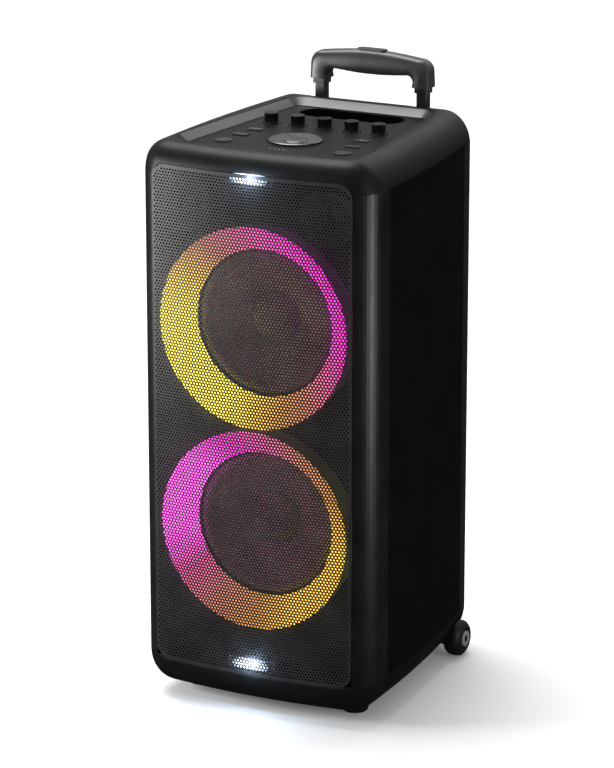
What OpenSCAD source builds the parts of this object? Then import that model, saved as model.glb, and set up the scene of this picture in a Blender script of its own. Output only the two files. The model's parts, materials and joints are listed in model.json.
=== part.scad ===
// Two-way party speaker on a trolley chassis, with light rings, a control tray and a telescopic handle.
// Millimetres. +Z up, the grille faces -Y, the origin is on the floor under the middle of the cabinet.

/* [Cabinet] */
// Greatest width of the cabinet
body_w = 318; // [300:1:340]
// Depth of the cabinet from the crown of the grille to the flat back
body_d = 366; // [350:1:400]
// Height of the top rim above the floor
body_h = 713; // [700:1:730]
// Height of the floor gap under the base
floor_gap = 15; // [12:1:20]
// Radius of the bowed front in plan
bow_r = 830; // [700:10:1200]
// Radius of the cabinet's front corners in plan
front_corner_r = 41; // [36:1:50]
// Radius of the cabinet's rear corners in plan
rear_corner_r = 36; // [30:1:45]
// Radius of the long curve of each side in plan
side_curve_r = 1780; // [1500:10:2400]
// Wall thickness of the moulded shells
wall = 3.5; // [3:0.1:4]
// Height of the seam between the base and the sides
base_seam_z = 56; // [50:1:60]
// Height of the seam between the sides and the top cap
cap_seam_z = 675; // [665:1:680]

/* [Grille] */
// Half of the grille's width
grille_half_w = 135; // [130:0.5:140]
// Lower edge of the grille
grille_bottom_z = 53; // [50:0.5:56]
// Upper edge of the grille
grille_top_z = 688; // [682:0.5:690]
// Thickness of the grille's steel sheet
grille_t = 1.2; // [1:0.1:1.4]
// Corner radius of the grille
grille_corner_r = 20; // [12:1:26]

/* [Sound] */
// Height of the upper woofer's axis
upper_woofer_z = 494; // [488:1:500]
// Height of the lower woofer's axis
lower_woofer_z = 237; // [230:1:242]
// Outer radius of each light ring
ring_outer_r = 123.5; // [118:0.5:125]
// Inner radius of each light ring
ring_inner_r = 92.5; // [90:0.5:95]
// Height of the tweeters' axes
tweeter_z = 641; // [636:1:644]
// Distance of each tweeter from the middle
tweeter_x = 97; // [92:1:99]

/* [Controls] */
// Height of the control panel's face
panel_z = 703; // [698:1:705]
// Spacing of the five knobs
knob_pitch = 37; // [35:0.5:38]
// Diameter of a knob
knob_d = 17.5; // [16:0.5:19]
// Height of a knob above the panel
knob_h = 13; // [10:0.5:15]
// Radius of the four-way pad
pad_r = 33; // [30:0.5:34]

/* [Handle and wheels] */
// Distance of each handle tube from the middle
post_x = 71; // [68:0.5:76]
// Distance of the handle tubes behind the crown of the grille
post_depth = 346; // [340:1:348]
// Height of the lower ends of the grip's legs at rest
leg_bottom_z = 736; // [730:1:740]
// Width of the grip's legs
leg_w = 24; // [20:0.5:26]
// Height of the underside of the grip's bar at its ends
bar_bottom_z = 749.5; // [746:0.5:752]
// Height of the top of the grip's bar at its middle
bar_top_z = 777.5; // [774:0.5:780]
// Height of the grip's bar at its middle, where the hand closes round it
bar_belly_h = 31.5; // [27:0.5:33]
// Radius of a wheel
wheel_r = 23.5; // [22:0.5:26]
// Width of a wheel
wheel_w = 24; // [20:1:26]
// Distance of the wheel axles behind the crown of the grille
axle_depth = 312; // [305:1:316]

/* [Hidden] */
eps = 0.01;
// Rear screw heads stand 2 mm proud, so the cabinet sits 1 mm forward of the middle
screw_proud = 2;
front_y = -body_d / 2 - screw_proud / 2;
back_y = front_y + body_d;
post_y = front_y + post_depth;
axle_y = front_y + axle_depth;
knob_y = front_y + 210;
pad_y = front_y + 130;
lights_y = front_y + 80;
slot_y = front_y + 287;
grip_half_w = post_x + leg_w / 2;
grip_d = 26;
grip_corner_r = 15;
window_bottom_z = leg_bottom_z - 30;
collar_h = 7;
inner_tube = [15, 13];
tube_r = 2.5;
tube_insert = 17;
tube_bottom_z = 320;
guide_top_z = 697;
slot_w = 140;
slot_d = 42;
slot_floor_z = 640;
button_spots = [[81, 95], [76, 132], [73, 165]];
foot_spot = [108.5, front_y + 79];
baffle_y = front_y + 50;
baffle_t = 12;
top_roll_r = 43;
top_front_roll_r = 24;
base_roll_r = 42;
base_front_roll_r = 36;
panel_t = 2.5;
tray_bevel = 14;
// The tray's front wall runs this much further forward, so that it rises gently
tray_front_run = 14;
shell_gap = 0.2;
wheel_x = 154 - wheel_w;
arch_x = 121;
upper_strobe_z = 681.5;
lower_strobe_z = 65;
board_z = panel_z - 16;
board_t = 1.6;
stem_bottom_z = panel_z - 8.2;
plate_y = back_y - 6;
plate_t = 2.5;
jack_xs = [-35, 0];
jack_z = 205;

// ---- outline of the cabinet in plan ----

// y of the bowed front at distance x from the middle
function bow_y(x) = front_y + bow_r - sqrt(bow_r * bow_r - x * x);
// half-width of the cabinet at a distance behind its front
function side_x(depth) = body_w / 2 - pow(max(depth - 70, 0), 2) / (2 * side_curve_r);
function arc(cx, cy, r, a0, a1, n) =
    [for (i = [0 : n]) let (a = a0 + (a1 - a0) * i / n) [cx + r * cos(a), cy + r * sin(a)]];

front_corner_x = body_w / 2 - front_corner_r;
front_corner_y = bow_y(front_corner_x) + front_corner_r;
rear_corner_depth = body_d - rear_corner_r;
rear_corner_x = side_x(rear_corner_depth) - rear_corner_r;
right_half = concat(
    [for (i = [0 : 7]) let (x = front_corner_x * i / 8) [x, bow_y(x)]],
    arc(front_corner_x, front_corner_y, front_corner_r, -90 + asin(front_corner_x / bow_r), 0, 12),
    [for (i = [1 : 6]) let (d = 82 + (rear_corner_depth - 90) * i / 6) [side_x(d), front_y + d]],
    arc(rear_corner_x, back_y - rear_corner_r, rear_corner_r, 6, 90, 8)
);
outline = concat(
    right_half,
    [for (i = [len(right_half) - 1 : -1 : 1]) [-right_half[i][0], right_half[i][1]]]
);

module plan(inset = 0) {
    if (inset == 0) polygon(outline);
    else offset(r = -inset) polygon(outline);
}

module slab(z0, z1, inset = 0) {
    translate([0, 0, z0]) linear_extrude(z1 - z0) plan(inset);
}

// One level of a rolled edge: sides and back are inset by side_inset, the front by front_inset
module roll_level(z, side_inset, front_inset) {
    stretch = (body_d - front_inset - side_inset) / (body_d - 2 * side_inset);
    translate([0, (front_inset - side_inset) / 2, z])
        linear_extrude(eps) scale([1, stretch]) plan(side_inset);
}

// How far a rolled edge of radius r has turned in at height h above its start
function turned_in(r, h) = h <= 0 ? 0 : r - sqrt(max(r * r - h * h, 0));

module cap_form(shrink = 0) {
    levels = [0, 8, 15, 21, 26, 30, 33, 35.5, 37.3, 38];
    top = body_h - shrink;
    hull() for (h = levels) {
        z = cap_seam_z + (top - cap_seam_z) * h / 38;
        side_in = turned_in(top_roll_r, z - (top - top_roll_r)) * 0.82;
        front_in = turned_in(top_front_roll_r, z - (top - top_front_roll_r));
        roll_level(z, shrink + side_in, shrink + front_in);
    }
}

module base_form(shrink = 0) {
    levels = [0, 1, 3, 6, 10, 15, 21, 28, 36, 41];
    bottom = floor_gap + shrink;
    hull() for (h = levels) {
        z = bottom + (base_seam_z - bottom) * h / 41;
        side_in = turned_in(base_roll_r, bottom + base_roll_r - z) * 0.86;
        front_in = turned_in(base_front_roll_r, bottom + base_front_roll_r - z) * 0.92;
        roll_level(z, shrink + side_in, shrink + front_in);
    }
}

// Curved slab that follows the front: depth0 to depth1 behind it, across x0 to x1
module bowed_slab(x0, x1, z0, z1, depth0, depth1) {
    steps = 24;
    xs = [for (i = [0 : steps]) x0 + (x1 - x0) * i / steps];
    translate([0, 0, z0]) linear_extrude(z1 - z0) polygon(concat(
        [for (x = xs) [x, bow_y(x) + depth0]],
        [for (i = [steps : -1 : 0]) [xs[i], bow_y(xs[i]) + depth1]]
    ));
}

module rounded_rect(w, d, r) {
    for (sx = [-1, 1], sy = [-1, 1]) translate([sx * (w / 2 - r), sy * (d / 2 - r)]) circle(r, $fn = 48);
    square([w - 2 * r, d], center = true);
    square([w, d - 2 * r], center = true);
}

// The upright outline of the grille, swept from y0 to y1
module grille_window(y0, y1, grow = 0) {
    height = grille_top_z - grille_bottom_z + 2 * grow;
    translate([0, y1, (grille_top_z + grille_bottom_z) / 2]) rotate([90, 0, 0])
        linear_extrude(y1 - y0) rounded_rect(2 * grille_half_w + 2 * grow, height, grille_corner_r + grow);
}

// A round bar along Y
module along_y(x, z, y0, y1, r) {
    translate([x, y0, z]) rotate([-90, 0, 0]) cylinder(h = y1 - y0, r = r, $fn = 96);
}

// ---- casings ----

// Outline of the tray, narrowing towards the back; grow widens it evenly
module tray_outline(grow = 0) {
    offset(r = grow + 10) offset(delta = -10) polygon([
        [-116, front_y + 56], [116, front_y + 56],
        [105, front_y + 170], [89, front_y + 314],
        [-89, front_y + 314], [-105, front_y + 170]
    ]);
}

module slot_outline(grow = 0) {
    rounded_rect(slot_w + 2 * grow, slot_d + 2 * grow, slot_d / 2 + grow - eps);
}

module slot_void(z0, z1, grow = 0) {
    translate([0, slot_y, z0]) linear_extrude(z1 - z0) slot_outline(grow);
}

module top_cap() {
    color([0.07, 0.07, 0.075]) difference() {
        cap_form();
        difference() {
            translate([0, 0, -eps]) cap_form(wall);
            translate([0, 0, panel_z - 6]) linear_extrude(20) difference() {
                square([400, 460], center = true);
                tray_outline(-3);
            }
        }
        hull() {
            translate([0, 0, panel_z]) linear_extrude(eps) tray_outline();
            translate([0, 0, body_h + eps]) linear_extrude(eps) {
                tray_outline(tray_bevel);
                translate([0, -tray_front_run]) tray_outline(tray_bevel);
            }
        }
        translate([0, 0, panel_z - panel_t - 0.02]) linear_extrude(panel_t + 1) tray_outline();
        intersection() {
            bowed_slab(-140, 140, cap_seam_z - 1, grille_top_z + 5, -2, grille_t + 1.2);
            grille_window(front_y - 5, front_y + 30, shell_gap);
        }
        translate([-34, front_y - 2, cap_seam_z - 1]) cube([68, 14, 15]);
        for (s = [-1, 1]) translate([s * post_x, post_y, cap_seam_z - 1])
            linear_extrude(60) rounded_rect(inner_tube[0] + 9.4, inner_tube[1] + 9.4, 3);
    }
}

module control_panel() {
    color([0.16, 0.16, 0.17]) difference() {
        translate([0, 0, panel_z - panel_t]) linear_extrude(panel_t) offset(delta = -0.2) tray_outline();
        for (k = [-2 : 2]) translate([k * knob_pitch, knob_y, panel_z - 5]) cylinder(h = 10, r = knob_d / 2 + 2, $fn = 48);
        translate([0, pad_y, panel_z - 5]) cylinder(h = 10, r = pad_r + 0.5, $fn = 96);
        for (s = [-1, 1]) button_voids(s);
        for (i = [-1.5 : 1 : 1.5]) translate([i * 6, lights_y, panel_z - 5]) cylinder(h = 10, r = 1.3, $fn = 24);
        slot_void(panel_z - 5, panel_z + 5, 1.7);
    }
}

module button_voids(s) {
    for (i = [0 : 2]) translate([s * button_spots[i][0], front_y + button_spots[i][1], panel_z - 5])
        linear_extrude(10) button_outline(i, 0.4);
}

module button_outline(i, grow = 0) {
    if (i == 0) circle(11 + grow, $fn = 64);
    else rounded_rect(20 + 2 * grow, 11 + 2 * grow, 2.5 + grow);
}

module base_cap() {
    color([0.07, 0.07, 0.075]) difference() {
        base_form();
        difference() {
            translate([0, 0, eps]) base_form(wall);
            for (s = [-1, 1]) wheel_arch(s, arch_x - wall, wheel_r + 3 + wall);
        }
        intersection() {
            bowed_slab(-140, 140, grille_bottom_z - 5, base_seam_z + 1, -2, grille_t + 1.2);
            grille_window(front_y - 5, front_y + 30, shell_gap);
        }
        for (s = [-1, 1]) wheel_arch(s, arch_x, wheel_r + 3);
    }
}

// Round space for a wheel, open to the side
module wheel_arch(s, inner_x, r) {
    translate([s * inner_x, axle_y, wheel_r]) rotate([0, s * 90, 0]) cylinder(h = 60, r = r, $fn = 96);
}

// Upright corner of the front, from the grille's edge round to the side
module column(s) {
    z0 = base_seam_z + shell_gap;
    z1 = cap_seam_z - shell_gap;
    color([0.09, 0.09, 0.095]) difference() {
        slab(z0, z1);
        slab(z0 - 1, z1 + 1, wall);
        translate([-200 * (1 + s), -300, z0 - 1]) cube([400, 600, z1 - z0 + 2]);
        translate([-300, front_y + 66, z0 - 1]) cube([600, 600, z1 - z0 + 2]);
        translate([-grille_half_w - shell_gap, front_y - 20, z0 - 1])
            cube([2 * (grille_half_w + shell_gap), 60, z1 - z0 + 2]);
    }
}

module side_panel(s) {
    z0 = base_seam_z + shell_gap;
    z1 = cap_seam_z - shell_gap;
    color([0.03, 0.03, 0.035]) difference() {
        slab(z0, z1);
        slab(z0 - 1, z1 + 1, wall);
        translate([-200 * (1 + s), -300, z0 - 1]) cube([400, 600, z1 - z0 + 2]);
        translate([-300, -600 + front_y + 66.3, z0 - 1]) cube([600, 600, z1 - z0 + 2]);
        translate([-300, front_y + 318, z0 - 1]) cube([600, 600, z1 - z0 + 2]);
    }
}

module rear_panel() {
    z0 = base_seam_z + shell_gap;
    z1 = cap_seam_z - shell_gap;
    color([0.06, 0.06, 0.065]) difference() {
        slab(z0, z1);
        slab(z0 - 1, z1 + 1, wall);
        translate([-300, -600 + front_y + 318.3, z0 - 1]) cube([600, 600, z1 - z0 + 2]);
        translate([-62, back_y - 10, 110]) cube([124, 20, 130]);
        along_y(0, 330, back_y - 10, back_y + 10, 36.2);
    }
}

module front_baffle() {
    color([0.05, 0.05, 0.05]) difference() {
        translate([-150, baffle_y, base_seam_z + 2]) cube([300, baffle_t, cap_seam_z - base_seam_z - 4]);
        for (z = [upper_woofer_z, lower_woofer_z]) along_y(0, z, baffle_y - 1, baffle_y + baffle_t + 1, 93);
        for (s = [-1, 1]) along_y(s * tweeter_x, tweeter_z, baffle_y - 1, baffle_y + baffle_t + 1, 22);
    }
}

module grille() {
    color([0.2, 0.2, 0.21]) intersection() {
        bowed_slab(-grille_half_w, grille_half_w, grille_bottom_z, grille_top_z, 0, grille_t);
        grille_window(front_y - 5, front_y + 30);
    }
}

// ---- light rings and loudspeakers; each stands on an axis along Y at (x, z) ----

// Places a profile drawn as (radius, depth behind the front) round an axis along Y
module turned(x, z) {
    translate([x, front_y, z]) rotate([-90, 0, 0]) rotate_extrude($fn = 128) children();
}

module light_ring(z) {
    color([0.9, 0.35, 0.75]) turned(0, z) polygon([
        [ring_outer_r + 2.5, 13], [ring_outer_r, 13], [ring_inner_r, 44], [ring_inner_r, 46.6],
        [ring_inner_r + 4, 46.6], [ring_outer_r + 0.5, 15.6], [ring_outer_r + 2.5, 15.6]
    ]);
}

module ring_board(z) {
    color([0.85, 0.85, 0.85]) turned(0, z) translate([104, 48.2]) square([19, 1.6]);
}

module woofer_basket(z) {
    color([0.12, 0.12, 0.12]) turned(0, z) polygon([
        [103, 47], [103, 49.8], [92.7, 49.8], [92.2, 63], [63, 104], [63, 107], [40, 107],
        [40, 104.5], [60, 104.5], [90, 62], [91.3, 58], [91.3, 47]
    ]);
}

module woofer_magnet(z) {
    color([0.3, 0.3, 0.32]) turned(0, z) polygon([
        [16, 107.3], [62, 107.3], [62, 138], [16, 138]
    ]);
}

// Roll surround, paper cone, dust cap and voice coil, which move together
module woofer_cone(z) {
    color([0.1, 0.1, 0.1]) turned(0, z) polygon(concat(
        [[0, 71], [0, 69]],
        [for (a = [15 : 15 : 75]) [32 * sin(a), 78 - 9 * cos(a)]],
        [[32, 78], [78, 54]],
        [for (a = [0 : 15 : 180]) [84.5 - 6.5 * cos(a), 54 - 5.5 * sin(a)]],
        [[91, 55], [90, 55]],
        [for (a = [165 : -15 : 15]) [84.5 - 5.3 * cos(a), 55 - 4.3 * sin(a)]],
        [[79, 56], [33, 80], [19, 86], [19, 101], [17.5, 101], [17.5, 84], [30, 79.5]],
        [for (a = [75 : -15 : 15]) [31 * sin(a), 80 - 9 * cos(a)]]
    ));
}

module tweeter_horn(s) {
    color([0.1, 0.1, 0.11]) turned(s * tweeter_x, tweeter_z) polygon([
        [34, 22], [36, 22], [36, 24], [34, 24.8], [22, 46], [21.5, 60], [13.5, 60], [13.5, 46], [16, 44], [24, 34]
    ]);
}

module tweeter_driver(s) {
    color([0.2, 0.2, 0.22]) turned(s * tweeter_x, tweeter_z) polygon(concat(
            [for (a = [0 : 15 : 90]) [12.5 * sin(a), 54 - 8 * cos(a)]],
            [[13.3, 54], [13.3, 60.2], [21.3, 60.2], [21.3, 62.3], [27, 62.3], [27, 66], [24, 66], [24, 82], [0, 82]]
        ));
}

module strobe(z) {
    color([0.92, 0.95, 1]) translate([-27, bow_y(0) + 4.5, z - 5]) cube([54, 3.5, 10]);
    color([0.3, 0.3, 0.3]) translate([-33, bow_y(0) + 8.2, z - 8]) cube([66, 3, 16]);
}

// ---- control tray ----

module knob(k) {
    x = (k - 3) * knob_pitch;
    flutes = 24;
    color([0.1, 0.1, 0.1]) translate([x, knob_y, 0]) {
        difference() {
            translate([0, 0, panel_z + 0.5]) cylinder(h = knob_h - 0.5, r = knob_d / 2, $fn = 96);
            for (i = [0 : flutes - 1]) rotate(i * 360 / flutes) translate([knob_d / 2 + 0.35, 0, panel_z + 2])
                cylinder(h = knob_h - 4, r = 0.8, $fn = 16);
            translate([0, knob_d / 4 + 1, panel_z + knob_h - 0.6]) linear_extrude(2) square([1.2, 4.5], center = true);
        }
        translate([0, 0, panel_z - 2]) cylinder(h = 2.5, r = knob_d / 2 + 1.2, $fn = 96);
        translate([0, 0, panel_z - 12.5]) cylinder(h = 11, r = 3, $fn = 48);
    }
}

// Circuit board under the panel, with the knobs' potentiometers and a switch under every key
module control_board() {
    top = board_z + board_t;
    color([0.1, 0.3, 0.18]) difference() {
        union() {
            translate([-98, front_y + 66, board_z]) cube([196, 172, board_t]);
            for (k = [-2 : 2]) translate([k * knob_pitch, knob_y, top]) {
                translate([-7, -7, 0]) cube([14, 14, 5]);
                cylinder(h = 8, r = 4.5, $fn = 48);
            }
            for (p = switch_spots()) translate([p[0] - 3, p[1] - 3, top]) cube([6, 6, 4.6]);
            for (x = [-88, 88], y = [front_y + 70, front_y + 234]) translate([x, y, top])
                cylinder(h = panel_z - panel_t - top, r = 3, $fn = 32);
        }
        for (k = [-2 : 2]) translate([k * knob_pitch, knob_y, panel_z - 13])
            cylinder(h = 10, r = 3.05, $fn = 48);
    }
}

function switch_spots() = concat(
    [for (s = [-1, 1], b = button_spots) [s * b[0], front_y + b[1]]],
    [for (a = [0 : 90 : 270]) [23 * sin(a), pad_y - 23 * cos(a)]],
    [[0, pad_y]]
);

module stem(x, y) {
    translate([x, y, stem_bottom_z]) cylinder(h = panel_z - 2 - stem_bottom_z, r = 2.2, $fn = 32);
}

// One quarter of the ring round the pad's centre, at a turn of a degrees from the front
module pad_key(a) {
    color([0.22, 0.22, 0.24]) translate([0, pad_y, 0]) rotate(a) intersection() {
        translate([0, 0, panel_z - 2]) rotate_extrude($fn = 128) polygon([
            [14.6, 0], [pad_r, 0], [pad_r, 4.5], [pad_r - 1, 5.2], [pad_r - 3, 5.2], [14.6, 3.2]
        ]);
        translate([0, 0, panel_z - 3]) linear_extrude(12)
            polygon([[0, -0.6], [60, -60.6], [-60, -60.6]]);
    }
    color([0.22, 0.22, 0.24]) stem(23 * sin(a), pad_y - 23 * cos(a));
}

module pad_key_centre() {
    color([0.28, 0.28, 0.3]) translate([0, pad_y, panel_z - 2]) rotate_extrude($fn = 128)
        polygon([[0, 0], [14, 0], [14, 3.4], [13, 4], [0, 4.6]]);
    color([0.28, 0.28, 0.3]) stem(0, pad_y);
}

module button(s, i) {
    x = s * button_spots[i][0];
    y = front_y + button_spots[i][1];
    color([0.2, 0.21, 0.23]) {
        translate([x, y, panel_z - 2]) linear_extrude(3.2) button_outline(i);
        stem(x, y);
    }
}

module battery_lights() {
    color([0.95, 0.95, 0.95]) {
        for (i = [-1.5 : 1 : 1.5]) translate([i * 6, lights_y, panel_z - 4]) cylinder(h = 4.2, r = 1.1, $fn = 24);
        translate([-12, lights_y - 3, panel_z - 5.5]) cube([24, 6, 1.5]);
    }
}

module tablet_slot_liner() {
    color([0.05, 0.05, 0.05]) difference() {
        slot_void(slot_floor_z - 2, panel_z - 0.4, 1.5);
        slot_void(slot_floor_z, panel_z + 1);
    }
}

// ---- handle ----

module handle_grip() {
    color([0.08, 0.08, 0.085]) difference() {
        union() {
            difference() {
                hull() for (s = [-1, 1]) {
                    grip_roll(s * (grip_half_w - grip_corner_r), bar_top_z - 6, grip_corner_r, grip_d);
                    grip_roll(s * 22, bar_top_z, 11.5, grip_d - 2);
                    translate([s * post_x, post_y, leg_bottom_z]) linear_extrude(1)
                        rounded_rect(leg_w, grip_d, 3.5);
                }
                grip_window(bar_bottom_z - window_bottom_z);
            }
            hull() for (s = [-1, 1]) {
                grip_roll(s * 16, bar_top_z, bar_belly_h / 2, grip_d - 2);
                grip_roll(s * 50, bar_bottom_z + 21, 10.5, grip_d - 6);
            }
        }
        translate([0, post_y, bar_top_z - 7]) linear_extrude(20) rounded_rect(40.6, 12.6, 5.8);
        for (s = [-1, 1]) translate([s * post_x, post_y, leg_bottom_z - 1])
            linear_extrude(tube_insert + 1) rounded_rect(inner_tube[0] + 0.1, inner_tube[1] + 0.1, tube_r);
    }
}

// A roll of radius r across the grip, reaching up to height top
module grip_roll(x, top, r, depth) {
    translate([x, post_y, top - r]) rotate([90, 0, 0]) cylinder(h = depth, r = r, center = true, $fn = 64);
}

// The space for the fingers between the grip's legs
module grip_window(height) {
    translate([0, post_y + grip_d, window_bottom_z + height / 2]) rotate([90, 0, 0])
        linear_extrude(2 * grip_d) rounded_rect(2 * (grip_half_w - leg_w), height, 8);
}

module release_button() {
    color([0.12, 0.12, 0.125]) translate([0, post_y, bar_top_z - 4])
        linear_extrude(5.2) rounded_rect(40, 12, 5.5);
}

module handle_collars() {
    color([0.15, 0.15, 0.16]) for (s = [-1, 1]) translate([s * post_x, post_y, leg_bottom_z - collar_h]) difference() {
        linear_extrude(collar_h) rounded_rect(inner_tube[0] + 4, inner_tube[1] + 5, 3);
        translate([0, 0, -1]) linear_extrude(collar_h + 2)
            rounded_rect(inner_tube[0] + 0.1, inner_tube[1] + 0.1, tube_r);
    }
}

// A pair of hollow handle tubes: size is [width, depth], t the wall
module post_tubes(size, t, z0, z1) {
    for (s = [-1, 1]) translate([s * post_x, post_y, z0]) linear_extrude(z1 - z0) difference() {
        rounded_rect(size[0], size[1], tube_r);
        rounded_rect(size[0] - 2 * t, size[1] - 2 * t, tube_r - 0.9);
    }
}

module inner_tubes() {
    color([0.2, 0.2, 0.21]) post_tubes(inner_tube, 1.2, tube_bottom_z + 10, leg_bottom_z + tube_insert);
}

module middle_tubes() {
    color([0.17, 0.17, 0.18]) post_tubes(inner_tube + [4, 4], 1.5, tube_bottom_z + 5, guide_top_z + 1.5);
}

module guide_tubes() {
    color([0.13, 0.13, 0.14]) post_tubes(inner_tube + [8, 8], 1.5, tube_bottom_z, guide_top_z);
}

// ---- running gear ----

module wheel(s) {
    color([0.06, 0.06, 0.06]) translate([s * wheel_x, axle_y, wheel_r]) rotate([0, 90 * s, 0])
        rotate_extrude($fn = 128) polygon([
            [4.05, 0], [16, 0], [20, 1.5], [wheel_r - 0.8, 5], [wheel_r, 9], [wheel_r, 15],
            [wheel_r - 1, 19], [19, 22.5], [16, wheel_w], [12, wheel_w - 1.2], [4.05, wheel_w - 1.2]
        ]);
}

module wheel_brackets() {
    color([0.25, 0.25, 0.26]) for (s = [-1, 1]) translate([s * arch_x, axle_y, 0]) {
        translate([0, 0, wheel_r]) rotate([0, s * 90, 0]) {
            cylinder(h = 4, r = 12, $fn = 64);
            cylinder(h = 154.5 - arch_x, r = 4, $fn = 64);
        }
        translate([s > 0 ? 0 : -4, -12, wheel_r]) cube([4, 24, 20]);
    }
}

module front_feet() {
    color([0.05, 0.05, 0.05]) for (s = [-1, 1]) translate([s * foot_spot[0], foot_spot[1], 0])
        rotate_extrude($fn = 96) polygon([
            [0, 4], [5, 4], [5, 0], [14.5, 0], [16, 1.5], [20, floor_gap], [0, floor_gap]
        ]);
}

// ---- inside and rear ----

module battery_pack() {
    color([0.2, 0.3, 0.5]) translate([-60, -30, floor_gap + wall + 0.5]) cube([120, 75, 60]);
}

module amplifier_board() {
    color([0.1, 0.35, 0.2]) translate([-70, back_y - 34, 100]) cube([140, 1.6, 150]);
    color([0.6, 0.6, 0.62]) translate([-50, back_y - 60, 120]) cube([100, 26, 40]);
}

module port_tube() {
    color([0.08, 0.08, 0.085]) turned(0, 330) polygon([
        [30, body_d - 140], [32.5, body_d - 140], [32.5, body_d - 6], [35.9, body_d - 4],
        [35.9, body_d + 0.1], [41, body_d + 0.1], [41, body_d + 1.5], [35, body_d + 1.5],
        [31, body_d - 6], [30, body_d - 12]
    ]);
}

// Recessed rear plate with the mains inlet, two large jacks, a small jack and two sockets
module connector_panel() {
    color([0.11, 0.11, 0.12]) difference() {
        union() {
            translate([-61.8, plate_y, 110.2]) cube([123.6, back_y - plate_y, 129.6]);
            translate([-68, back_y, 104]) cube([136, 1.2, 142]);
            translate([-16, plate_y - 14, 120]) cube([32, 14.5, 22]);
            for (x = jack_xs) along_y(x, jack_z, plate_y - 22, plate_y + 1, 7);
            along_y(35, jack_z, plate_y - 12, plate_y + 1, 4.5);
        }
        translate([-59.8, plate_y + plate_t, 112.2]) cube([119.6, 20, 125.6]);
        translate([-14, plate_y - 12, 122]) cube([28, 30, 18]);
        for (x = jack_xs) along_y(x, jack_z, plate_y - 20, plate_y + 20, 3.2);
        along_y(35, jack_z, plate_y - 10, plate_y + 20, 1.8);
        translate([-42, plate_y - 1, 160]) cube([13, 20, 5.5]);
        translate([20, plate_y - 1, 155]) cube([24, 20, 14]);
    }
    color([0.7, 0.7, 0.7]) for (x = [-5, 5]) along_y(x, 131, plate_y - 12, plate_y - 6, 1.2);
    color([0.7, 0.7, 0.7]) for (x = jack_xs) difference() {
        along_y(x, jack_z, plate_y + plate_t, plate_y + plate_t + 2.5, 7.5);
        along_y(x, jack_z, plate_y, plate_y + 20, 3.2);
    }
    color([0.15, 0.15, 0.15]) translate([20.5, plate_y - 2, 155.5]) cube([23, 6, 13]);
}

module screw_head(x, y, z, turn) {
    translate([x, y, z]) rotate(turn) difference() {
        cylinder(h = 2, r1 = 3.2, r2 = 2.4, $fn = 32);
        translate([-2, -0.4, 1]) cube([4, 0.8, 2]);
        translate([-0.4, -2, 1]) cube([0.8, 4, 2]);
    }
}

module screws() {
    color([0.3, 0.3, 0.3]) {
        for (x = [-90, 90], z = [80, 270, 460, 650]) screw_head(x, back_y, z, [-90, 0, 0]);
    }
}

top_cap();
control_panel();
base_cap();
column(-1);  // left_column
column(1);  // right_column
side_panel(-1);  // left_side_panel
side_panel(1);  // right_side_panel
rear_panel();
front_baffle();
grille();
light_ring(upper_woofer_z);  // upper_light_ring
light_ring(lower_woofer_z);  // lower_light_ring
ring_board(upper_woofer_z);  // upper_ring_board
ring_board(lower_woofer_z);  // lower_ring_board
woofer_basket(upper_woofer_z);  // upper_woofer_basket
woofer_basket(lower_woofer_z);  // lower_woofer_basket
woofer_cone(upper_woofer_z);  // upper_woofer_cone
woofer_cone(lower_woofer_z);  // lower_woofer_cone
woofer_magnet(upper_woofer_z);  // upper_woofer_magnet
woofer_magnet(lower_woofer_z);  // lower_woofer_magnet
tweeter_horn(-1);  // left_tweeter_horn
tweeter_horn(1);  // right_tweeter_horn
tweeter_driver(-1);  // left_tweeter_driver
tweeter_driver(1);  // right_tweeter_driver
strobe(upper_strobe_z);  // upper_strobe
strobe(lower_strobe_z);  // lower_strobe
knob(1);  // knob_1
knob(2);  // knob_2
knob(3);  // knob_3
knob(4);  // knob_4
knob(5);  // knob_5
control_board();
pad_key(0);  // pad_key_front
pad_key(90);  // pad_key_right
pad_key(180);  // pad_key_back
pad_key(270);  // pad_key_left
pad_key_centre();
button(-1, 0);  // button_left_1
button(-1, 1);  // button_left_2
button(-1, 2);  // button_left_3
button(1, 0);  // button_right_1
button(1, 1);  // button_right_2
button(1, 2);  // button_right_3
battery_lights();
tablet_slot_liner();
handle_grip();
release_button();
handle_collars();
inner_tubes();
middle_tubes();
guide_tubes();
wheel(-1);  // left_wheel
wheel(1);  // right_wheel
wheel_brackets();
front_feet();
battery_pack();
amplifier_board();
port_tube();
connector_panel();
screws();
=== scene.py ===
import json
import math

import bmesh
import bpy
import numpy as np
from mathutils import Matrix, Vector
from mathutils.geometry import convex_hull_2d


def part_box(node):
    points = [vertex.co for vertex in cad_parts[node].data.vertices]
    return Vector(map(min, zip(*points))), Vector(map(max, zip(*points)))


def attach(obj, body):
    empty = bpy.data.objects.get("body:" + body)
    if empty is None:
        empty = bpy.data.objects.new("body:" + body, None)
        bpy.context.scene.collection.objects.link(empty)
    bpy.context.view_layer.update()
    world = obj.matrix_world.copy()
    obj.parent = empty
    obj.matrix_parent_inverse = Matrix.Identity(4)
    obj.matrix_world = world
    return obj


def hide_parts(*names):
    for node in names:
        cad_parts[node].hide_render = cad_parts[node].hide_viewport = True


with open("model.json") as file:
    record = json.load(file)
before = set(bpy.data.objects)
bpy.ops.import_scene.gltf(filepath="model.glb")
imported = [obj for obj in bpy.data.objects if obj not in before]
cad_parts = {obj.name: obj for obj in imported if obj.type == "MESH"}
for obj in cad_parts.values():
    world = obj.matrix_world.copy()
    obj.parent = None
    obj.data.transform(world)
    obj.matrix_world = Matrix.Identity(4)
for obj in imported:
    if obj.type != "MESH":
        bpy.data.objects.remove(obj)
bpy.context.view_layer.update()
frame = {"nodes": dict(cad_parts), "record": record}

MM = 0.001
CABINET = "cabinet"
SIDES = {"left": -1, "right": 1}
KNOBS = range(1, 6)
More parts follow.
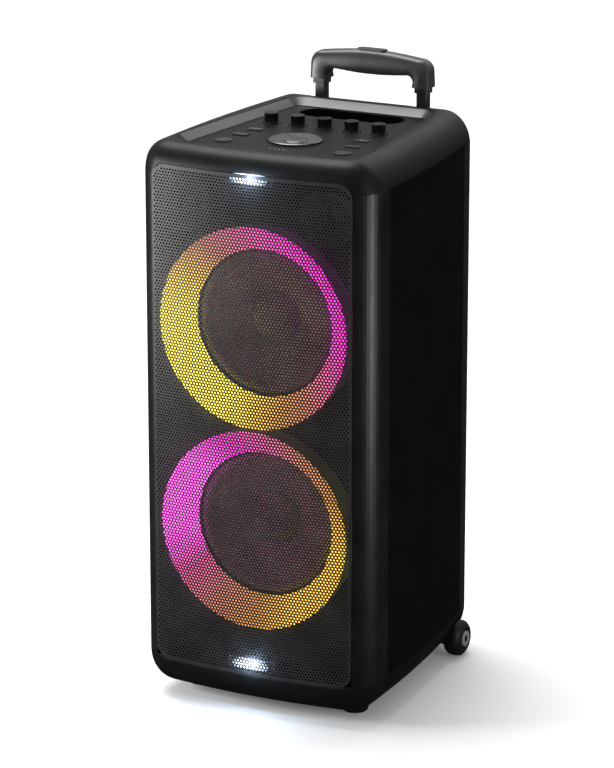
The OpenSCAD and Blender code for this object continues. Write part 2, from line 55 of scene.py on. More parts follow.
KEYS_PER_SIDE = range(1, 4)
STROBES = ("upper_strobe", "lower_strobe")

# ---- looks ----

RING_STRENGTH = 2.6
STROBE_STRENGTH = 9.0
STROBE_BLUE = (0.30, 0.55, 1.0)
STROBE_CORE = (0.95, 0.98, 1.0)
STROBE_HALF_X = 27 * MM
STROBE_HALF_Z = 9 * MM
STROBE_FALL = 1.2

MAGENTA = (0.95, 0.002, 0.52)
BRIGHT_PINK = (2.10, 0.12, 1.40)
PINK = (0.66, 0.05, 0.26)
SALMON = (0.44, 0.13, 0.07)
AMBER = (0.46, 0.20, 0.012)
GOLD = (0.85, 0.46, 0.015)
YELLOW = (1.40, 1.05, 0.06)
# Round a ring, the positions 0 and 1 are straight down, 0.25 is the left, 0.5 the top and 0.75 the right.
RING_STOPS = {
    "upper_light_ring": [
        (0.0, GOLD), (0.07, YELLOW), (0.16, YELLOW), (0.25, YELLOW), (0.33, GOLD), (0.40, SALMON),
        (0.48, PINK), (0.56, MAGENTA), (0.76, MAGENTA), (0.83, PINK), (0.90, SALMON), (0.95, AMBER),
        (1.0, GOLD)],
    "lower_light_ring": [
        (0.0, AMBER), (0.08, SALMON), (0.16, PINK), (0.23, BRIGHT_PINK), (0.36, BRIGHT_PINK),
        (0.44, MAGENTA), (0.51, PINK), (0.58, SALMON), (0.68, AMBER), (0.77, GOLD), (0.93, GOLD),
        (1.0, AMBER)],
}

FLOOR_GLOW = 0.08
WORLD_LEVEL = 0.35
SPILL_POWER = 0.12
SPILL_COLOUR = (0.55, 0.75, 1.0)
SPILL_OUT = 14 * MM
KEY_STRENGTH = 2.8
KEY_ANGLE = 45
KEY_DIRECTION = (0.6, -0.45, -1.8)
# Name, place, target, width and height in metres, power in watts.
SOFT_LIGHTS = [
    ("column_strip", (1.18, -0.13, 0.28), (0.14, -0.15, 0.5), 0.34, 0.40, 3.4),
    ("left_card", (-0.90, -0.75, 0.45), (-0.1, -0.18, 0.6), 0.30, 0.4, 12.0),
    ("back_panel", (0.4, 3.2, 2.6), (0, 0, 0.7), 2.6, 1.0, 14),
    ("overhead_left", (-1.4, 0.0, 3.3), (0, 0, 0.7), 1.4, 1.4, 16),
]

FOCAL_PX = 3739.9
PHOTO_LONG_SIDE_PX = 768
SENSOR_MM = 36.0
AZIMUTH = 26.64
DOWNWARD = 16.5
CAMERA_PLACE = (2.0076, -4.02475, 1.7125)


# ---- materials ----

def set_inputs(node, **values):
    """Writes constants straight onto a shader node's sockets."""
    for name, value in values.items():
        node.inputs[name.replace("_", " ")].default_value = value


def math_node(tree, operation, *values, clamp=False):
    """A maths node; each value is a constant or another node's output."""
    node = tree.nodes.new("ShaderNodeMath")
    node.operation = operation
    node.use_clamp = clamp
    for socket, value in zip(node.inputs, values):
        if isinstance(value, (int, float)):
            socket.default_value = value
        else:
            tree.links.new(value, socket)
    return node.outputs[0]


def noise(tree, coordinates, scale, detail=3.0):
    node = tree.nodes.new("ShaderNodeTexNoise")
    set_inputs(node, Scale=scale, Detail=detail, Roughness=0.55)
    tree.links.new(coordinates, node.inputs["Vector"])
    return node.outputs["Fac"]


def ramp(tree, factor, stops):
    """Colour ramp through (position, (r, g, b)) stops."""
    node = tree.nodes.new("ShaderNodeValToRGB")
    elements = node.color_ramp.elements
    while len(elements) < len(stops):
        elements.new(0.5)
    for element, (position, colour) in zip(elements, stops):
        element.position = position
        element.color = (*colour, 1.0)
    tree.links.new(factor, node.inputs["Fac"])
    return node.outputs["Color"]


def start_material(name):
    made = bpy.data.materials.new(name)
    made.use_nodes = True
    tree = made.node_tree
    shader = next(n for n in tree.nodes if n.type == "BSDF_PRINCIPLED")
    coordinates = tree.nodes.new("ShaderNodeTexCoord").outputs["Object"]
    return made, tree, shader, coordinates


def from_axis(tree, coordinates, axis_x, axis_z):
    """How far a point lies to the right of an upright plane and above a level one."""
    parts = tree.nodes.new("ShaderNodeSeparateXYZ")
    tree.links.new(coordinates, parts.inputs[0])
    across = math_node(tree, "SUBTRACT", parts.outputs["X"], axis_x)
    up = math_node(tree, "SUBTRACT", parts.outputs["Z"], axis_z)
    return across, up


def surface(name, colour, rough, metal=0.0, specular=0.3, blotch=0.25, grain=0.0, grain_scale=1400.0,
            soft_edge=0.5):
    """A finish whose colour and roughness wander slowly, with a fine grain and softly worn edges."""
    blotch_scale = 22.0
    rough_range = 0.16
    made, tree, shader, coordinates = start_material(name)
    slow = noise(tree, coordinates, blotch_scale)
    dark = tuple(c * (1 - blotch) for c in colour)
    light = tuple(min(1.0, c * (1 + blotch)) for c in colour)
    tree.links.new(ramp(tree, slow, [(0.3, dark), (0.7, light)]), shader.inputs["Base Color"])
    wander = math_node(tree, "MULTIPLY_ADD", slow, rough_range, rough - rough_range / 2)
    tree.links.new(wander, shader.inputs["Roughness"])
    set_inputs(shader, Metallic=metal, Specular_IOR_Level=specular)
    bump = tree.nodes.new("ShaderNodeBump")
    set_inputs(bump, Strength=max(grain, 0.02), Distance=0.15 * MM)
    tree.links.new(noise(tree, coordinates, grain_scale, 2.0), bump.inputs["Height"])
    if soft_edge:
        rounding = tree.nodes.new("ShaderNodeBevel")
        set_inputs(rounding, Radius=soft_edge * MM)
        tree.links.new(rounding.outputs["Normal"], bump.inputs["Normal"])
    tree.links.new(bump.outputs["Normal"], shader.inputs["Normal"])
    return made


def frosted(tree, shader, frosting, dark, light, rough_range):
    """The unlit look of a diffuser or lens: a clouded grey."""
    tree.links.new(ramp(tree, frosting, [(0.3, dark), (0.7, light)]), shader.inputs["Base Color"])
    tree.links.new(math_node(tree, "MULTIPLY_ADD", frosting, rough_range, 0.5), shader.inputs["Roughness"])


def ring_light(name, axis_x, axis_z, stops, strength):
    """A diffuser lit by a colour that changes with the clock angle round its axis."""
    made, tree, shader, coordinates = start_material(name)
    across, up = from_axis(tree, coordinates, axis_x, axis_z)
    turn = math_node(tree, "ARCTAN2", across, up)
    share = math_node(tree, "MULTIPLY_ADD", turn, 0.5 / math.pi, 0.5)
    frosting = noise(tree, coordinates, 260.0)
    frosted(tree, shader, frosting, (0.35, 0.33, 0.33), (0.5, 0.48, 0.48), 0.2)
    set_inputs(shader, Specular_IOR_Level=0.2)
    level = math_node(tree, "MULTIPLY_ADD", frosting, 0.3 * strength, 0.85 * strength)
    tree.links.new(ramp(tree, share, stops), shader.inputs["Emission Color"])
    tree.links.new(level, shader.inputs["Emission Strength"])
    return made


def lamp_spot(name, centre, half_x, half_z, colour, strength, fall):
    """A lens that is brightest at its centre and fades towards its ends."""
    made, tree, shader, coordinates = start_material(name)
    across, up = from_axis(tree, coordinates, centre.x, centre.z)
    across = math_node(tree, "DIVIDE", across, half_x)
    up = math_node(tree, "DIVIDE", up, half_z)
    reach = math_node(tree, "ADD", math_node(tree, "MULTIPLY", across, across),
                      math_node(tree, "MULTIPLY", up, up))
    near = math_node(tree, "SUBTRACT", 1.0, reach, clamp=True)
    near = math_node(tree, "POWER", near, fall)
    frosting = noise(tree, coordinates, 300.0)
    frosted(tree, shader, frosting, (0.3, 0.32, 0.34), (0.42, 0.44, 0.46), 0.25)
    level = math_node(tree, "MULTIPLY_ADD", frosting, 0.2 * strength, 0.9 * strength)
    tree.links.new(math_node(tree, "MULTIPLY", near, level), shader.inputs["Emission Strength"])
    tree.links.new(ramp(tree, near, [(0.0, colour), (0.8, STROBE_CORE)]), shader.inputs["Emission Color"])
    return made


def middle(node):
    low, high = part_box(node)
    return (low + high) / 2


def make_finishes():
    """The finish of each material slot that doesn't give light."""
    return {
        "cap_plastic": surface("cap_finish", (0.004, 0.004, 0.0043), 0.44, specular=0.22, grain=0.8,
                               grain_scale=1500.0),
        "column_plastic": surface("column_finish", (0.004, 0.004, 0.004), 0.36, specular=0.45, grain=0.2,
                                  grain_scale=1700.0),
        "side_plastic": surface("side_finish", (0.003, 0.003, 0.0033), 0.5, specular=0.06, grain=0.2,
                                grain_scale=1700.0),
        "rear_plastic": surface("rear_finish", (0.008, 0.008, 0.0085), 0.55, specular=0.2, grain=0.4),
        "grille_steel": surface("grille_paint", (0.020, 0.020, 0.021), 0.45, metal=0.2, specular=0.35,
                                grain=0.1, soft_edge=0.0),
        "panel_plastic": surface("panel_finish", (0.006, 0.006, 0.0063), 0.42, specular=0.16, grain=0.2),
        "baffle_board": surface("baffle_finish", (0.006, 0.006, 0.006), 0.75, specular=0.1),
        "circuit_board": surface("board_finish", (0.03, 0.09, 0.05), 0.5, blotch=0.4),
        "cone_paper": surface("cone_finish", (0.34, 0.32, 0.31), 0.6, grain=0.5, grain_scale=700.0),
        "basket_steel": surface("basket_finish", (0.05, 0.05, 0.052), 0.45, metal=0.5),
        "magnet": surface("magnet_finish", (0.10, 0.10, 0.105), 0.4, metal=0.7),
        "horn_plastic": surface("horn_finish", (0.14, 0.14, 0.15), 0.35, specular=0.5),
        "knob_plastic": surface("knob_finish", (0.004, 0.004, 0.0043), 0.30, specular=0.45, grain=0.08),
        "pad_plastic": surface("pad_finish", (0.15, 0.15, 0.155), 0.27, metal=0.85, specular=0.5,
                               blotch=0.15, grain=0.08),
        "button_plastic": surface("button_finish", (0.014, 0.020, 0.030), 0.32, specular=0.5),
        "light_pipe": surface("pipe_finish", (0.35, 0.36, 0.38), 0.35),
        "slot_rubber": surface("slot_finish", (0.004, 0.004, 0.004), 0.8, specular=0.08, grain=0.3),
        "grip_plastic": surface("grip_finish", (0.034, 0.034, 0.035), 0.38, specular=0.7, grain=0.15),
        "tube_metal": surface("tube_finish", (0.11, 0.11, 0.113), 0.35, metal=0.7, blotch=0.12, grain=0.1),
        "wheel_rubber": surface("tyre_finish", (0.007, 0.007, 0.007), 0.5, specular=0.25, grain=0.3),
        "bracket_metal": surface("bracket_finish", (0.22, 0.22, 0.23), 0.38, metal=0.8),
        "foot_rubber": surface("foot_finish", (0.006, 0.006, 0.006), 0.6, specular=0.2, grain=0.4),
        "battery_wrap": surface("battery_finish", (0.04, 0.08, 0.2), 0.4),
        "screw_steel": surface("screw_finish", (0.05, 0.05, 0.052), 0.35, metal=0.8),
    }


def make_lit_finishes():
    """The finish of each node that gives light."""
    made = {}
    for ring, stops in RING_STOPS.items():
        place = middle(ring)
        made[ring] = ring_light(ring + "_glow", place.x, place.z, stops, RING_STRENGTH)
    for strobe in STROBES:
        made[strobe] = lamp_spot(strobe + "_glow", middle(strobe), STROBE_HALF_X, STROBE_HALF_Z,
                                 STROBE_BLUE, STROBE_STRENGTH, STROBE_FALL)
    return made


FINISHES = make_finishes()
LIT_FINISHES = make_lit_finishes()
hub_finish = surface("hub_finish", (0.42, 0.42, 0.44), 0.35, metal=0.6)
# Near black and rough: the own colour of the wheel caps and screw heads, and painted shade in the rings
# round the pad and the knobs.
dark_and_shade_finish = surface("dark_and_shade_recess_finish", (0.005, 0.005, 0.005), 0.6, specular=0.1)
mark_finish = surface("mark_finish", (0.30, 0.31, 0.33), 0.5)
# Painted sheen: a lighter grey, glossier finish than the cap, for the tray walls that catch light.
sheen_wall_finish = surface("sheen_wall_finish", (0.045, 0.045, 0.046), 0.3, specular=0.55, blotch=0.12, grain=0.05)
trim_finish = surface("trim_finish", (0.16, 0.16, 0.17), 0.25, metal=0.9)


def give(obj, finish):
    obj.data.materials.clear()
    obj.data.materials.append(finish)


NODE_SLOT = {entry["node"]: entry["material_slot"] for entry in frame["record"]["subparts"]}
BODY_OF = {}
for body_name, members in frame["record"]["behaviour"]["bodies"].items():
    for member in members:
        BODY_OF[member] = body_name

for node_name, node_object in frame["nodes"].items():
    if node_name in LIT_FINISHES:
        give(node_object, LIT_FINISHES[node_name])
    else:
        give(node_object, FINISHES[NODE_SLOT[node_name]])


# ---- ways to make a piece ----

def link(name, data):
    made = bpy.data.objects.new(name, data)
    bpy.context.scene.collection.objects.link(made)
    return made


def add_mesh(name, points, faces, finish, body, smooth_angle=30.0):
    mesh = bpy.data.meshes.new(name)
    mesh.from_pydata(points, [], faces)
    mesh.update()
    made = link(name, mesh)
    if smooth_angle:
        mesh.shade_smooth()
        mesh.set_sharp_from_angle(angle=math.radians(smooth_angle))
    give(made, finish)
    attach(made, body)
    return made


def refined(node, bevel_mm, smooth_angle=38.0, segments=3):
    """A smooth-shaded piece in the exact shape of a CAD node, with its hard edges rounded a little."""
    builder = bmesh.new()
    builder.from_mesh(frame["nodes"][node].data)
    bmesh.ops.remove_doubles(builder, verts=builder.verts, dist=0.02 * MM)
    mesh = bpy.data.meshes.new("fine_" + node)
    builder.to_mesh(mesh)
    builder.free()
    mesh.shade_smooth()
    mesh.set_sharp_from_angle(angle=math.radians(smooth_angle))
    made = link("fine_" + node, mesh)
    give(made, frame["nodes"][node].data.materials[0])
    rounding = made.modifiers.new("edges", "BEVEL")
    rounding.width = bevel_mm * MM
    rounding.segments = segments
    rounding.limit_method = "ANGLE"
    rounding.angle_limit = math.radians(smooth_angle)
    rounding.use_clamp_overlap = True
    rounding.harden_normals = True
    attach(made, BODY_OF[node])
    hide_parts(node)


def strip_faces(levels, count, first=0):
    """Quads between rings of count points each, laid out level after level from index first."""
    faces = []
    for level in range(levels - 1):
        low = first + level * count
        high = low + count
        for i in range(count):
            j = (i + 1) % count
            faces.append([low + i, low + j, high + j, high + i])
    return faces


def lathe(name, centre, axis, profile, finish, body):
    """A turned piece: profile is (radius, distance along the axis) from its centre, in mm."""
    steps = 64
    axis = Vector(axis).normalized()
    side = axis.orthogonal().normalized()
    other = axis.cross(side)
    points = []
    for radius, along in profile:
        for i in range(steps):
            angle = 2 * math.pi * i / steps
            spot = side * math.cos(angle) + other * math.sin(angle)
            points.append(tuple(Vector(centre) + axis * along * MM + spot * radius * MM))
    add_mesh(name, points, strip_faces(len(profile), steps), finish, body, smooth_angle=35.0)


def plates(name, boxes, finish, body):
    """Several small rectangular marks in one piece; each is (centre, width, depth, height, turn)."""
    quads = ((0, 1, 2, 3), (4, 5, 6, 7), (0, 1, 5, 4), (1, 2, 6, 5), (2, 3, 7, 6), (3, 0, 4, 7))
    points = []
    faces = []
    for centre, width, depth, height, turn in boxes:
        base = len(points)
        cosine, sine = math.cos(turn), math.sin(turn)
        for z in (0, height):
            for sx, sy in ((-1, -1), (1, -1), (1, 1), (-1, 1)):
                x, y = sx * width / 2, sy * depth / 2
                points.append((centre[0] + x * cosine - y * sine, centre[1] + x * sine + y * cosine,
                               centre[2] + z))
        for quad in quads:
            faces.append([base + i for i in quad])
    add_mesh(name, points, faces, finish, body, smooth_angle=0)


# ---- grille ----

def perforated_grille():
    """The bowed steel sheet with its hexagonal field of round holes and a plain border."""
    low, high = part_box("grille")
    half_w = (high.x - low.x) / 2
    half_h = (high.z - low.z) / 2
    centre_x = (high.x + low.x) / 2
    centre_z = (high.z + low.z) / 2
    sheet = 1.2 * MM
    sagitta = high.y - low.y - sheet
    bow = (half_w ** 2 + sagitta ** 2) / (2 * sagitta)
    corner = 20 * MM
    border = 2.6 * MM
    pitch = 4.28 * MM
    hole = 1.36 * MM
    edge_round = 0.12 * MM
    edge_in = 0.4 * MM
    sides = 12

    def front(x):
        return low.y + bow - np.sqrt(bow ** 2 - x ** 2)

    def inside(x, z):
        """How far a point lies inside the sheet's outline."""
        over_x = np.abs(x) - (half_w - corner)
        over_z = np.abs(z) - (half_h - corner)
        outer = np.hypot(np.maximum(over_x, 0), np.maximum(over_z, 0))
        return corner - outer - np.minimum(np.maximum(over_x, over_z), 0)

    def on_sheet(flat, deep):
        """Points of the flat pattern laid on the bowed sheet."""
        return np.stack([flat[:, 0] + centre_x, front(flat[:, 0]) + deep, flat[:, 1] + centre_z], 1)

    row_step = pitch * math.sqrt(3) / 2
    rows = int(half_h / row_step) + 1
    columns = int(half_w / pitch) + 1
    centres = []
    for row in range(-rows, rows + 1):
        shift = 0.5 * pitch if row % 2 else 0.0
        for column in range(-columns, columns + 1):
            centres.append((column * pitch + shift, row * row_step))
    centres = np.array(centres)
    depth_in = inside(centres[:, 0], centres[:, 1])
    open_cells = centres[depth_in > border + hole]
    plain_cells = centres[(depth_in <= border + hole) & (depth_in > border - 0.4 * pitch)]

    # Each open cell is a hexagon with a hole in it and the hole's wall through the sheet.
    step = np.arange(sides)
    after = (step + 1) % sides
    turn = np.radians(step * 360 / sides)
    outer_r = np.where(step % 2 == 1, pitch / math.sqrt(3), pitch / 2)
    outer = np.stack([outer_r * np.cos(turn), outer_r * np.sin(turn)], 1)
    inner = np.stack([hole * np.cos(turn), hole * np.sin(turn)], 1)
    cell = np.concatenate([outer, inner, inner])
    cell_depth = np.concatenate([np.zeros(2 * sides), np.full(sides, sheet)])
    front_faces = np.stack([step, after, after + sides, step + sides], 1)
    cell_faces = np.concatenate([front_faces, front_faces + sides])
    cell_start = (np.arange(len(open_cells)) * len(cell))[:, None, None]
    faces = (cell_faces[None] + cell_start).reshape(-1, 4).tolist()
    flat = (open_cells[:, None, :] + cell[None]).reshape(-1, 2)
    points = on_sheet(flat, np.tile(cell_depth, len(open_cells)))

    # Cells too near the edge for a hole stay plain.
    base = len(points)
    flat = (plain_cells[:, None, :] + outer[None]).reshape(-1, 2)
    points = np.concatenate([points, on_sheet(flat, 0.0)])
    for i in range(len(plain_cells)):
        faces.append(list(range(base + i * sides, base + (i + 1) * sides)))

    # The border runs round the outline, with a short turned edge.
    base = len(points)
    corner_steps = 12
    edge_steps = 24
    outline = []
    for quarter in range(4):
        sign_x = (1, -1, -1, 1)[quarter]
        sign_z = (1, 1, -1, -1)[quarter]
        for i in range(corner_steps + 1):
            angle = math.radians(90 * (quarter + i / corner_steps))
            outline.append((sign_x * (half_w - corner), sign_z * (half_h - corner),
                            math.cos(angle), math.sin(angle)))
        if quarter in (0, 2):
            for i in range(1, edge_steps):
                x = sign_x * (half_w - corner) * (1 - 2 * i / edge_steps)
                outline.append((x, sign_z * (half_h - corner), 0.0, float(sign_z)))
    levels = ((corner, sheet), (corner, edge_round), (corner - edge_in, 0.0), (corner - border, 0.0))
    border_points = []
    for reach, drop in levels:
        for near_x, near_z, out_x, out_z in outline:
            x = near_x + reach * out_x
            border_points.append((x + centre_x, float(front(x)) + drop, near_z + reach * out_z + centre_z))
    points = np.concatenate([points, np.array(border_points)])
    faces += strip_faces(len(levels), len(outline), base)
    made = add_mesh("perforated_grille", points.tolist(), faces, FINISHES["grille_steel"], CABINET,
                    smooth_angle=0)
    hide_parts("grille")


# ---- handle ----

def swept_grip():
    """The grip as one smooth bow: two legs that turn through round shoulders into a slightly arched bar."""
    low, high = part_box("handle_grip")
    centre_x = (low.x + high.x) / 2
    centre_y = (low.y + high.y) / 2
    half_w = (high.x - low.x) / 2
    leg_w = 24 * MM
    leg_depth = high.y - low.y
    bar_depth = 24 * MM
    bar_bottom = low.z + 13.5 * MM
    bar_top = high.z - 0.3 * MM
    belly = bar_bottom - (high.z - 31.5 * MM)
    shoulder_r = 15 * MM
    shoulder_top = high.z - 6 * MM
    inner_r = 8 * MM
    inner_x = half_w - leg_w
    turns = 8
    bar_steps = 16
    around = 24
    leg_square = 0.32
    bar_square = 0.78

    # Half of the outer and inner edge lines, from the foot of a leg to the middle of the bar.
    outer = [(half_w, low.z), (half_w, low.z + 7 * MM), (half_w, shoulder_top - shoulder_r)]
    inner = [(inner_x, low.z), (inner_x, low.z + 3 * MM), (inner_x, bar_bottom - inner_r)]
    for i in range(1, turns + 1):
        angle = math.pi / 2 * i / turns
        back, up = 1 - math.cos(angle), 1 - math.sin(angle)
        outer.append((half_w - shoulder_r * back, shoulder_top - shoulder_r * up))
        inner.append((inner_x - inner_r * back, bar_bottom - inner_r * up))
    start_outer, start_inner = outer[-1][0], inner[-1][0]
    for i in range(1, bar_steps + 1):
        share = i / bar_steps
        rise = math.sin(share * math.pi / 2)
        outer.append((start_outer * (1 - share), shoulder_top + (bar_top - shoulder_top) * rise))
        inner.append((start_inner * (1 - share), bar_bottom - belly * rise))
    outer += [(-x, z) for x, z in reversed(outer[:-1])]
    inner += [(-x, z) for x, z in reversed(inner[:-1])]

    # A rounded section runs along them, squarer and deeper in the legs than in the bar.
    points = []
    for (outer_x, outer_z), (near_x, near_z) in zip(outer, inner):
        middle_x, middle_z = (outer_x + near_x) / 2, (outer_z + near_z) / 2
        reach_x, reach_z = (outer_x - near_x) / 2, (outer_z - near_z) / 2
        upward = min(1.0, abs(reach_z) / (abs(reach_z) + abs(reach_x)))
        depth = (leg_depth + (bar_depth - leg_depth) * upward) / 2
        square = leg_square + (bar_square - leg_square) * upward
        for j in range(around):
            angle = 2 * math.pi * j / around
            along = math.copysign(abs(math.cos(angle)) ** square, math.cos(angle))
            out = math.copysign(abs(math.sin(angle)) ** square, math.sin(angle))
            points.append((centre_x + middle_x + reach_x * along, centre_y + depth * out,
                           middle_z + reach_z * along))
    faces = strip_faces(len(outer), around)
    faces.append(list(range(around)))
    faces.append(list(range(len(points) - around, len(points))))
    made = add_mesh("swept_grip", points, faces, FINISHES["grip_plastic"], BODY_OF["handle_grip"],
                    smooth_angle=50.0)
    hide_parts("handle_grip")


# ---- tray and controls ----

PANEL_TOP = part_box("control_panel")[1].z


def tray_wall_sheen():
    """Smooth lining on the tray's side and rear walls, built outwards from the control panel's outline;
    lighter grey and glossier than the cap, a painted sheen for the light these walls catch.
    """
    centre = Vector((0, middle("pad_key_centre").y))
    panel = frame["nodes"]["control_panel"].data
    face = [(v.co.x, v.co.y) for v in panel.vertices if abs(v.co.z - PANEL_TOP) < 0.02 * MM]
    outline = [Vector(face[i]) for i in convex_hull_2d(face)]
    slope_out = 14 * MM
    slope_up = 10 * MM
    clear = 0.25 * MM
    shares = (0.04, 0.3, 0.58, 0.86)
    # Walls whose outward direction leans further forward than this stay bare.
    front_facing = -0.05
    count = len(outline)
    outwards = []
    for i in range(count):
        along = (outline[(i + 1) % count] - outline[i - 1]).normalized()
        across = Vector((along.y, -along.x))
        if across.dot(outline[i] - centre) < 0:
            across = -across
        outwards.append(across)
    points = []
    for share in shares:
        for corner, across in zip(outline, outwards):
            spot = corner + across * (slope_out * share)
            points.append((spot.x, spot.y, PANEL_TOP + slope_up * share + clear))
    faces = []
    for quad in strip_faces(len(shares), count):
        if all(outwards[i % count].y >= front_facing for i in quad):
            faces.append(quad)
    add_mesh("tray_wall_sheen", points, faces, sheen_wall_finish, CABINET, smooth_angle=40.0)


def pad_shade_gap():
    """A thin dark ring laid on the panel round the outside of the pad: painted shade for the gap."""
    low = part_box("pad_key_left")[0]
    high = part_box("pad_key_right")[1]
    radius = (high.x - low.x) / 2 / MM
    centre = Vector(((low.x + high.x) / 2, middle("pad_key_centre").y, PANEL_TOP))
    # Painted shade: a flat dark ring on the panel stands for the shadow in the gap round the pad.
    lathe("pad_gap_ring", centre, (0, 0, 1),
          [(radius + 0.3, 0.02), (radius + 0.3, 0.1), (radius + 2.6, 0.1), (radius + 2.9, 0.02)],
          dark_and_shade_finish, CABINET)


def knob_dressing(k):
    """A dark ring round a knob, painted shade for the well it sits in; the smooth face on top of it and the
    ticks of its scale.
    """
    low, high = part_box(f"knob_{k}")
    spot = (low + high) / 2
    radius = (high.x - low.x) / 2 / MM
    face_r = radius - 2.6
    # Painted shade: a flat dark ring on the panel round the knob stands for the shadow in its well.
    lathe(f"knob_shade_well_{k}", (spot.x, spot.y, PANEL_TOP), (0, 0, 1),
          [(radius + 0.9, 0.02), (radius + 0.9, 0.35), (radius + 1.6, 0.45), (radius + 2.6, 0.3),
           (radius + 2.8, 0.02)],
          dark_and_shade_finish, CABINET)
    lathe(f"knob_face_{k}", (spot.x, spot.y, high.z), (0, 0, 1),
          [(0.01, 0.12), (face_r - 0.6, 0.12), (face_r, 0.0), (face_r, -0.4)],
          FINISHES["knob_plastic"], BODY_OF[f"knob_{k}"])
    tick_count = 11
    start, sweep = -135, 270
    reach = (radius + 4.4) * MM
    ticks = []
    for i in range(tick_count):
        angle = math.radians(start + sweep * i / (tick_count - 1))
        ticks.append(((spot.x + reach * math.sin(angle), spot.y + reach * math.cos(angle), PANEL_TOP),
                      0.45 * MM, 1.5 * MM, 0.06 * MM, -angle))
    plates(f"knob_scale_{k}", ticks, mark_finish, CABINET)


def key_bars(side, k):
    """Plain bars on a key, as many as its number in the row."""
    name = f"button_{side}_{k}"
    low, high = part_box(name)
    spacing = 1.6 * MM
    bars = []
    for i in range(k):
        x = (low.x + high.x) / 2 + (i - (k - 1) / 2) * spacing
        bars.append(((x, (low.y + high.y) / 2, high.z), 0.6 * MM, 3.2 * MM, 0.05 * MM, 0.0))
    plates(f"button_mark_{side}_{k}", bars, mark_finish, BODY_OF[name])


# ---- wheels, screws and jacks ----

def wheel_dressing(side, sign):
    """A wheel's pale hub ring and its dark cap."""
    wheel = f"{side}_wheel"
    low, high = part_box(wheel)
    hub = ((high.x if sign > 0 else low.x), (low.y + high.y) / 2, (low.z + high.z) / 2)
    lathe(f"{side}_wheel_hub", hub, (sign, 0, 0),
          [(4.6, -1.2), (4.6, 0.5), (5.4, 0.9), (9.4, 0.9), (10.2, 0.4), (10.2, -2.0)],
          hub_finish, BODY_OF[wheel])
    lathe(f"{side}_wheel_cap", hub, (sign, 0, 0),
          [(0.01, 0.7), (3.4, 0.7), (4.2, 0.2), (4.2, -1.0)],
          dark_and_shade_finish, BODY_OF[wheel])


def grip_screw(side, sign):
    low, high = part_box("handle_grip")
    from_edge = 11 * MM
    sunk = 0.6 * MM
    above_foot = 9 * MM
    spot = (sign * (high.x - from_edge), low.y + sunk, low.z + above_foot)
    lathe(f"{side}_grip_screw", spot, (0, -1, 0),
          [(0.01, 0.1), (1.9, 0.1), (2.1, 0.5), (2.5, 0.4), (2.8, -0.6)],
          dark_and_shade_finish, BODY_OF["handle_grip"])


def jack_nut(mount):
    """The bright nut round a jack, on the sunk face of the connector plate."""
    bore = mount["dims"]["r_mm"]
    face_sunk = 4.7 * MM
    x, _, z = mount["pos_m"]
    face_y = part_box("connector_panel")[1].y - face_sunk
    lathe(mount["name"] + "_nut", (x, face_y, z), (0, 1, 0),
          [(bore + 0.3, -0.2), (bore + 0.3, 2.2), (bore + 1.0, 2.6), (bore + 2.4, 2.6), (bore + 3.0, 2.0),
           (bore + 3.0, 0.0)],
          trim_finish, CABINET)


# ---- the pieces ----

for casing in ("top_cap", "base_cap"):
    refined(casing, 0.5, smooth_angle=30.0, segments=2)
for shell in ("left_column", "right_column", "left_side_panel", "right_side_panel", "rear_panel"):
    refined(shell, 0.25, smooth_angle=25.0, segments=2)
refined("release_button", 1.0)
for k in KNOBS:
    refined(f"knob_{k}", 0.25, segments=2)
for key in ("front", "right", "back", "left", "centre"):
    refined(f"pad_key_{key}", 0.25, segments=2)
for side in SIDES:
    for k in KEYS_PER_SIDE:
        refined(f"button_{side}_{k}", 0.5)
perforated_grille()
swept_grip()
tray_wall_sheen()
pad_shade_gap()
for k in KNOBS:
    knob_dressing(k)
for side in SIDES:
    for k in KEYS_PER_SIDE:
        key_bars(side, k)
for side, sign in SIDES.items():
    wheel_dressing(side, sign)
for side, sign in SIDES.items():
    grip_screw(side, sign)
for mount in frame["record"]["mounts"]:
    if mount["kind"] == "bore":
        jack_nut(mount)


# ---- floor, light and camera ----

def pale_floor():
    made, tree, shader, coordinates = start_material("floor_finish")
    cloud = noise(tree, coordinates, 0.6)
    tree.links.new(ramp(tree, cloud, [(0.2, (0.90, 0.90, 0.90)), (0.8, (0.93, 0.93, 0.93))]),
                   shader.inputs["Base Color"])
    tree.links.new(math_node(tree, "MULTIPLY_ADD", cloud, 0.9, 0.5), shader.inputs["Roughness"])
    set_inputs(shader, Specular_IOR_Level=0.15, Emission_Color=(1, 1, 1, 1), Emission_Strength=FLOOR_GLOW)
    half = 40.0
    corners = [(-half, -half, 0), (half, -half, 0), (half, half, 0), (-half, half, 0)]
    mesh = bpy.data.meshes.new("floor")
    mesh.from_pydata(corners, [], [(0, 1, 2, 3)])
    floor = link("floor", mesh)
    give(floor, made)
    floor.visible_glossy = False


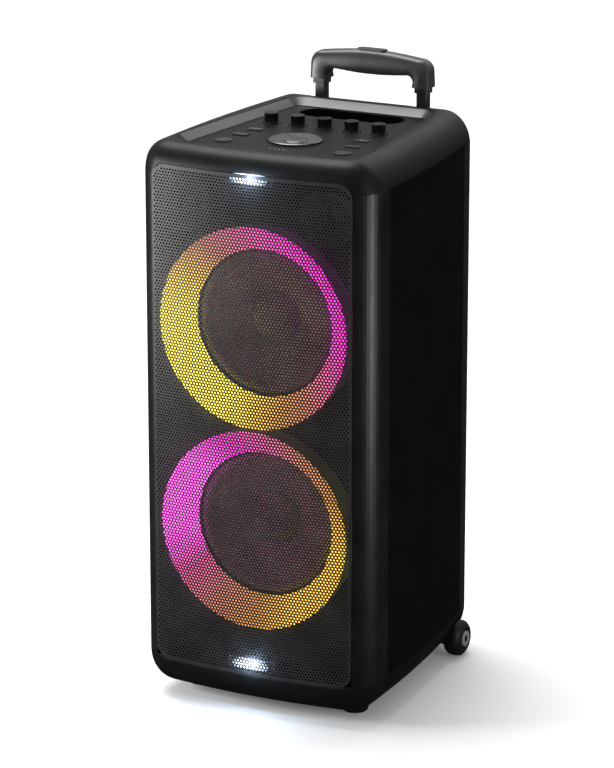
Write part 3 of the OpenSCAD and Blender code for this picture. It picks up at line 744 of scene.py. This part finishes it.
def studio_world():
    """Even light from above the horizon and hardly any from below it."""
    world = bpy.data.worlds.new("studio")
    world.use_nodes = True
    tree = world.node_tree
    parts = tree.nodes.new("ShaderNodeSeparateXYZ")
    tree.links.new(tree.nodes.new("ShaderNodeTexCoord").outputs["Generated"], parts.inputs[0])
    height = math_node(tree, "MULTIPLY_ADD", parts.outputs["Z"], 0.5, 0.5)
    tree.links.new(ramp(tree, height, [(0.47, (0.08, 0.08, 0.08)), (0.54, (1.0, 1.0, 1.0))]),
                   tree.nodes["Background"].inputs["Color"])
    tree.nodes["Background"].inputs["Strength"].default_value = WORLD_LEVEL
    bpy.context.scene.world = world


def aim(holder, direction):
    holder.rotation_euler = Vector(direction).to_track_quat("-Z", "Y").to_euler()


def key_light():
    key = bpy.data.lights.new("key", "SUN")
    key.energy = KEY_STRENGTH
    key.angle = math.radians(KEY_ANGLE)
    aim(link("key", key), KEY_DIRECTION)


def soft_light(name, place, target, width, height, power):
    lamp = bpy.data.lights.new(name, "AREA")
    lamp.shape = "RECTANGLE"
    lamp.size = width
    lamp.size_y = height
    lamp.energy = power
    holder = link(name, lamp)
    holder.location = place
    aim(holder, Vector(target) - Vector(place))
    holder.visible_camera = False


def strobe_spill(node):
    """The cold light that a strobe throws on the sheet and the rim round it."""
    lamp = bpy.data.lights.new(node + "_spill", "POINT")
    lamp.energy = SPILL_POWER
    lamp.color = SPILL_COLOUR
    lamp.shadow_soft_size = 4 * MM
    holder = link(node + "_spill", lamp)
    place = middle(node)
    holder.location = (place.x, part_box("grille")[0].y - SPILL_OUT, place.z)
    holder.visible_camera = False


def photo_camera():
    data = bpy.data.cameras.new("camera")
    data.sensor_width = SENSOR_MM
    data.lens = FOCAL_PX * SENSOR_MM / PHOTO_LONG_SIDE_PX
    data.clip_start = 0.1
    data.clip_end = 200.0
    camera = link("camera", data)
    camera.location = CAMERA_PLACE
    camera.rotation_euler = (math.radians(90 - DOWNWARD), 0, math.radians(AZIMUTH))
    bpy.context.scene.camera = camera


pale_floor()
studio_world()
key_light()
for settings in SOFT_LIGHTS:
    soft_light(*settings)
for strobe_node in STROBES:
    strobe_spill(strobe_node)
bpy.context.scene.view_settings.view_transform = "Standard"
photo_camera()
